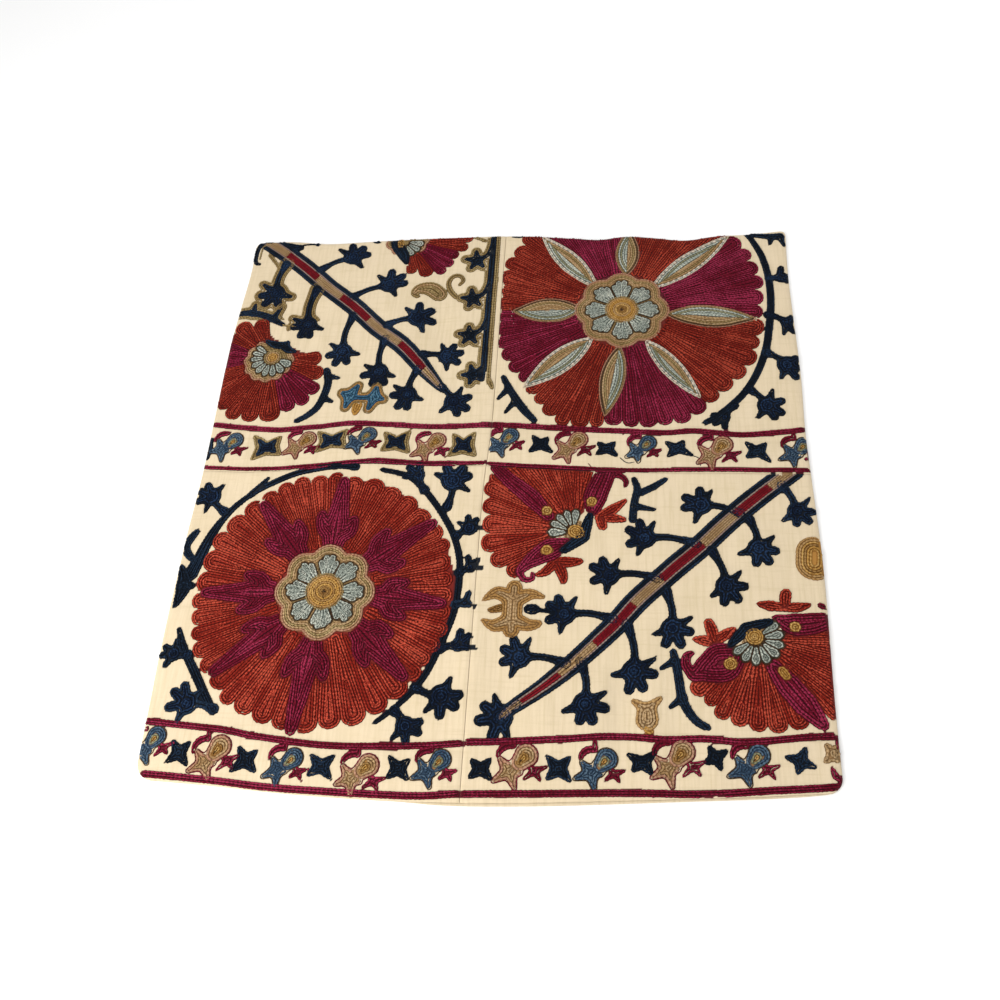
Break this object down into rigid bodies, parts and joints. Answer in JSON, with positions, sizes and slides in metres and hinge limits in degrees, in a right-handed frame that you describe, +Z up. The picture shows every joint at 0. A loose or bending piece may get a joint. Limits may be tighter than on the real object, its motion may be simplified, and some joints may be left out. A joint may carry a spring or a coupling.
{
  "type": "crewel embroidered pillow cover",
  "caption": "Square empty cushion cover lying flat: a patched cotton front worked all over with chain stitch flowers, sewn to a plain back.",
  "frame": {"origin": "middle of the cover's plan, on the surface that its back lies on", "axes": "+Z up through the cover from its plain back to its worked front, +Y from the bottom border to the top edge, +X to the right as seen from above"},
  "size_m": [0.515, 0.5272, 0.0084],
  "materials": {
    "front_cotton": "cream slub cotton, plain weave",
    "back_cotton": "plain cream cotton",
    "rust_wool": "rust red wool in chain stitch",
    "maroon_wool": "maroon wool in chain stitch",
    "navy_wool": "navy wool in chain stitch",
    "tan_wool": "tan wool in chain stitch",
    "grey_blue_wool": "grey blue wool in chain stitch",
    "gold_wool": "gold wool in chain stitch",
    "teal_wool": "teal blue wool in chain stitch",
    "olive_wool": "olive brown wool in chain stitch",
    "cream_thread": "cream wool in running stitch"
  },
  "bodies": {
    "root": {"front_upper_left": "front_cotton", "front_upper_right": "front_cotton", "front_lower_left": "front_cotton", "front_lower_right": "front_cotton", "back_panel": "back_cotton"}
  },
  "joints": []
}
